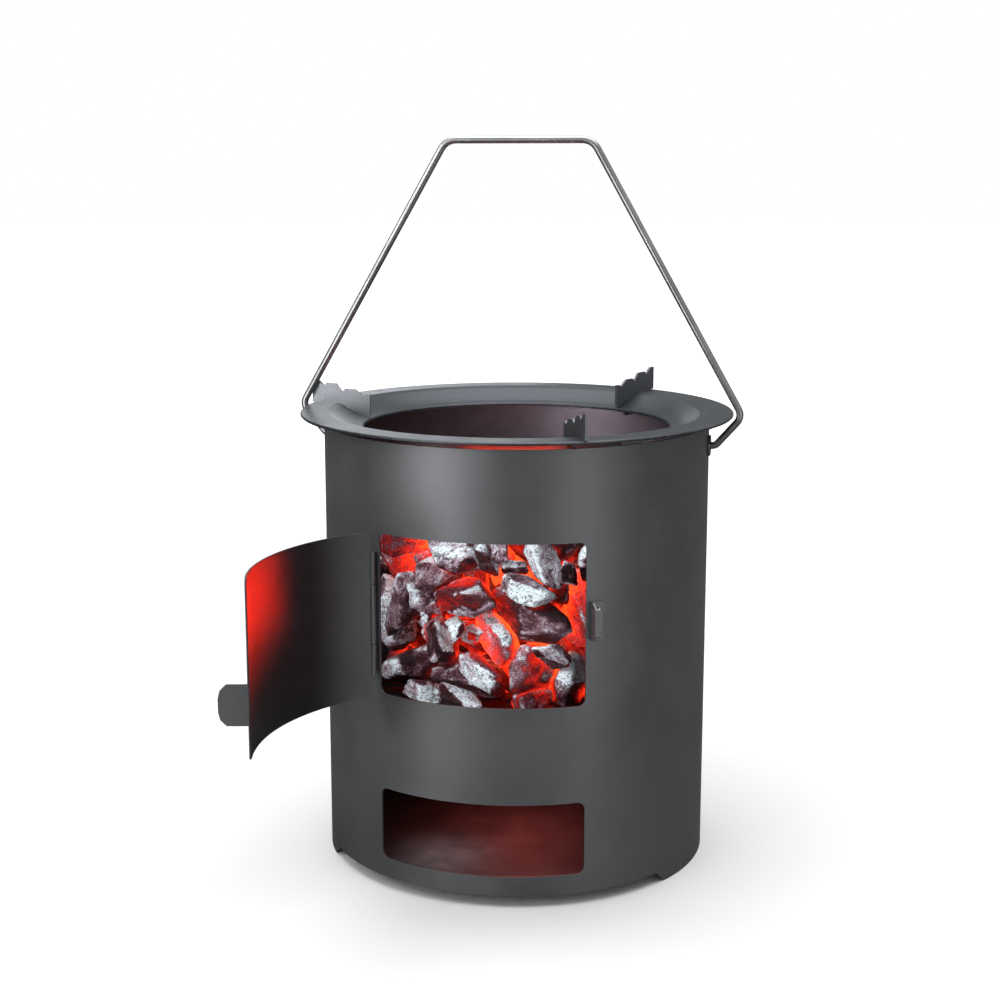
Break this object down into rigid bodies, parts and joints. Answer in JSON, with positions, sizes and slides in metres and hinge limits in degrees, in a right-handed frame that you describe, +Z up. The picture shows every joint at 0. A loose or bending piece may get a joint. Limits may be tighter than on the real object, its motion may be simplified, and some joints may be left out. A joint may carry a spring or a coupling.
{
  "type": "rocket stove",
  "caption": "Round portable charcoal stove of sheet steel with a hinged curved fire door, ash opening, dished top ring with stepped pot supports and a wire bail.",
  "frame": {"origin": "on the stove's upright axis at ground level, in the middle of the circle of its feet", "axes": "+Z up along the stove's axis, -Y out of the fire window and the ash opening, X along the bail's pivots"},
  "size_m": [0.3142, 0.4052, 0.4979],
  "materials": {
    "dark_steel": "satin heat-resistant dark grey coating on sheet steel",
    "ring_steel": "satin grey coating, lighter than the body, worn pale along the lip",
    "sooted_steel": "matt, sooted and heat-stained sheet steel",
    "bright_steel": "bright drawn stainless rod",
    "charcoal": "glowing charcoal: black and ash-grey faces with orange embers in the cracks"
  },
  "bodies": {
    "stove": {"body_shell": "dark_steel", "top_ring": "ring_steel", "ring_bracket_1": "dark_steel", "ring_bracket_2": "dark_steel", "ring_bracket_3": "dark_steel", "ring_bracket_4": "dark_steel", "bail_eyelet_left": "bright_steel", "bail_eyelet_right": "bright_steel", "hinge_body_leaf": "dark_steel", "body_leaf_rivet_1": "dark_steel", "body_leaf_rivet_2": "dark_steel", "hinge_pin": "dark_steel", "door_catch": "dark_steel", "catch_rivet_1": "dark_steel", "catch_rivet_2": "dark_steel", "fire_grate": "sooted_steel", "grate_bracket_1": "sooted_steel", "grate_bracket_2": "sooted_steel", "grate_bracket_3": "sooted_steel", "ash_floor": "sooted_steel"},
    "door": {"fire_door": "dark_steel", "hinge_door_leaf": "dark_steel", "door_leaf_rivet_1": "dark_steel", "door_leaf_rivet_2": "dark_steel", "door_handle_tab": "dark_steel", "tab_rivet_1": "dark_steel", "tab_rivet_2": "dark_steel"},
    "bail": {"bail_handle": "bright_steel"},
    "support_back": {"pot_support_1": "ring_steel"},
    "support_left": {"pot_support_2": "ring_steel"},
    "support_front": {"pot_support_3": "ring_steel"},
    "charcoal": {"charcoal_lump_01": "charcoal", "charcoal_lump_02": "charcoal", "charcoal_lump_03": "charcoal", "charcoal_lump_04": "charcoal", "charcoal_lump_05": "charcoal", "charcoal_lump_06": "charcoal", "charcoal_lump_07": "charcoal", "charcoal_lump_08": "charcoal", "charcoal_lump_09": "charcoal", "charcoal_lump_10": "charcoal", "charcoal_lump_11": "charcoal", "charcoal_lump_12": "charcoal", "charcoal_lump_13": "charcoal", "charcoal_lump_14": "charcoal", "charcoal_lump_15": "charcoal", "charcoal_lump_16": "charcoal", "charcoal_lump_17": "charcoal", "charcoal_lump_18": "charcoal", "charcoal_lump_19": "charcoal", "charcoal_lump_20": "charcoal", "charcoal_lump_21": "charcoal", "charcoal_lump_22": "charcoal", "charcoal_lump_23": "charcoal", "charcoal_lump_24": "charcoal"}
  },
  "joints": [
    {"name": "door_hinge", "type": "hinge", "parent": "stove", "child": "door", "pos_m": [-0.07326, -0.11589, 0.19], "axis": [0, 0, 1], "range_deg": [-55, 104.2]},
    {"name": "bail_swing", "type": "hinge", "parent": "stove", "child": "bail", "pos_m": [0, 0, 0.2902], "axis": [1, 0, 0], "range_deg": [0, 44]},
    {"name": "support_back_lift", "type": "slide", "parent": "stove", "child": "support_back", "axis": [0, 0, 1], "range_m": [0, 0.014]},
    {"name": "support_left_lift", "type": "slide", "parent": "stove", "child": "support_left", "axis": [0, 0, 1], "range_m": [0, 0.014]},
    {"name": "support_front_lift", "type": "slide", "parent": "stove", "child": "support_front", "axis": [0, 0, 1], "range_m": [0, 0.014]},
    {"name": "charcoal_lift", "type": "slide", "parent": "stove", "child": "charcoal", "axis": [0, 0, 1], "range_m": [0, 0.16]}
  ]
}
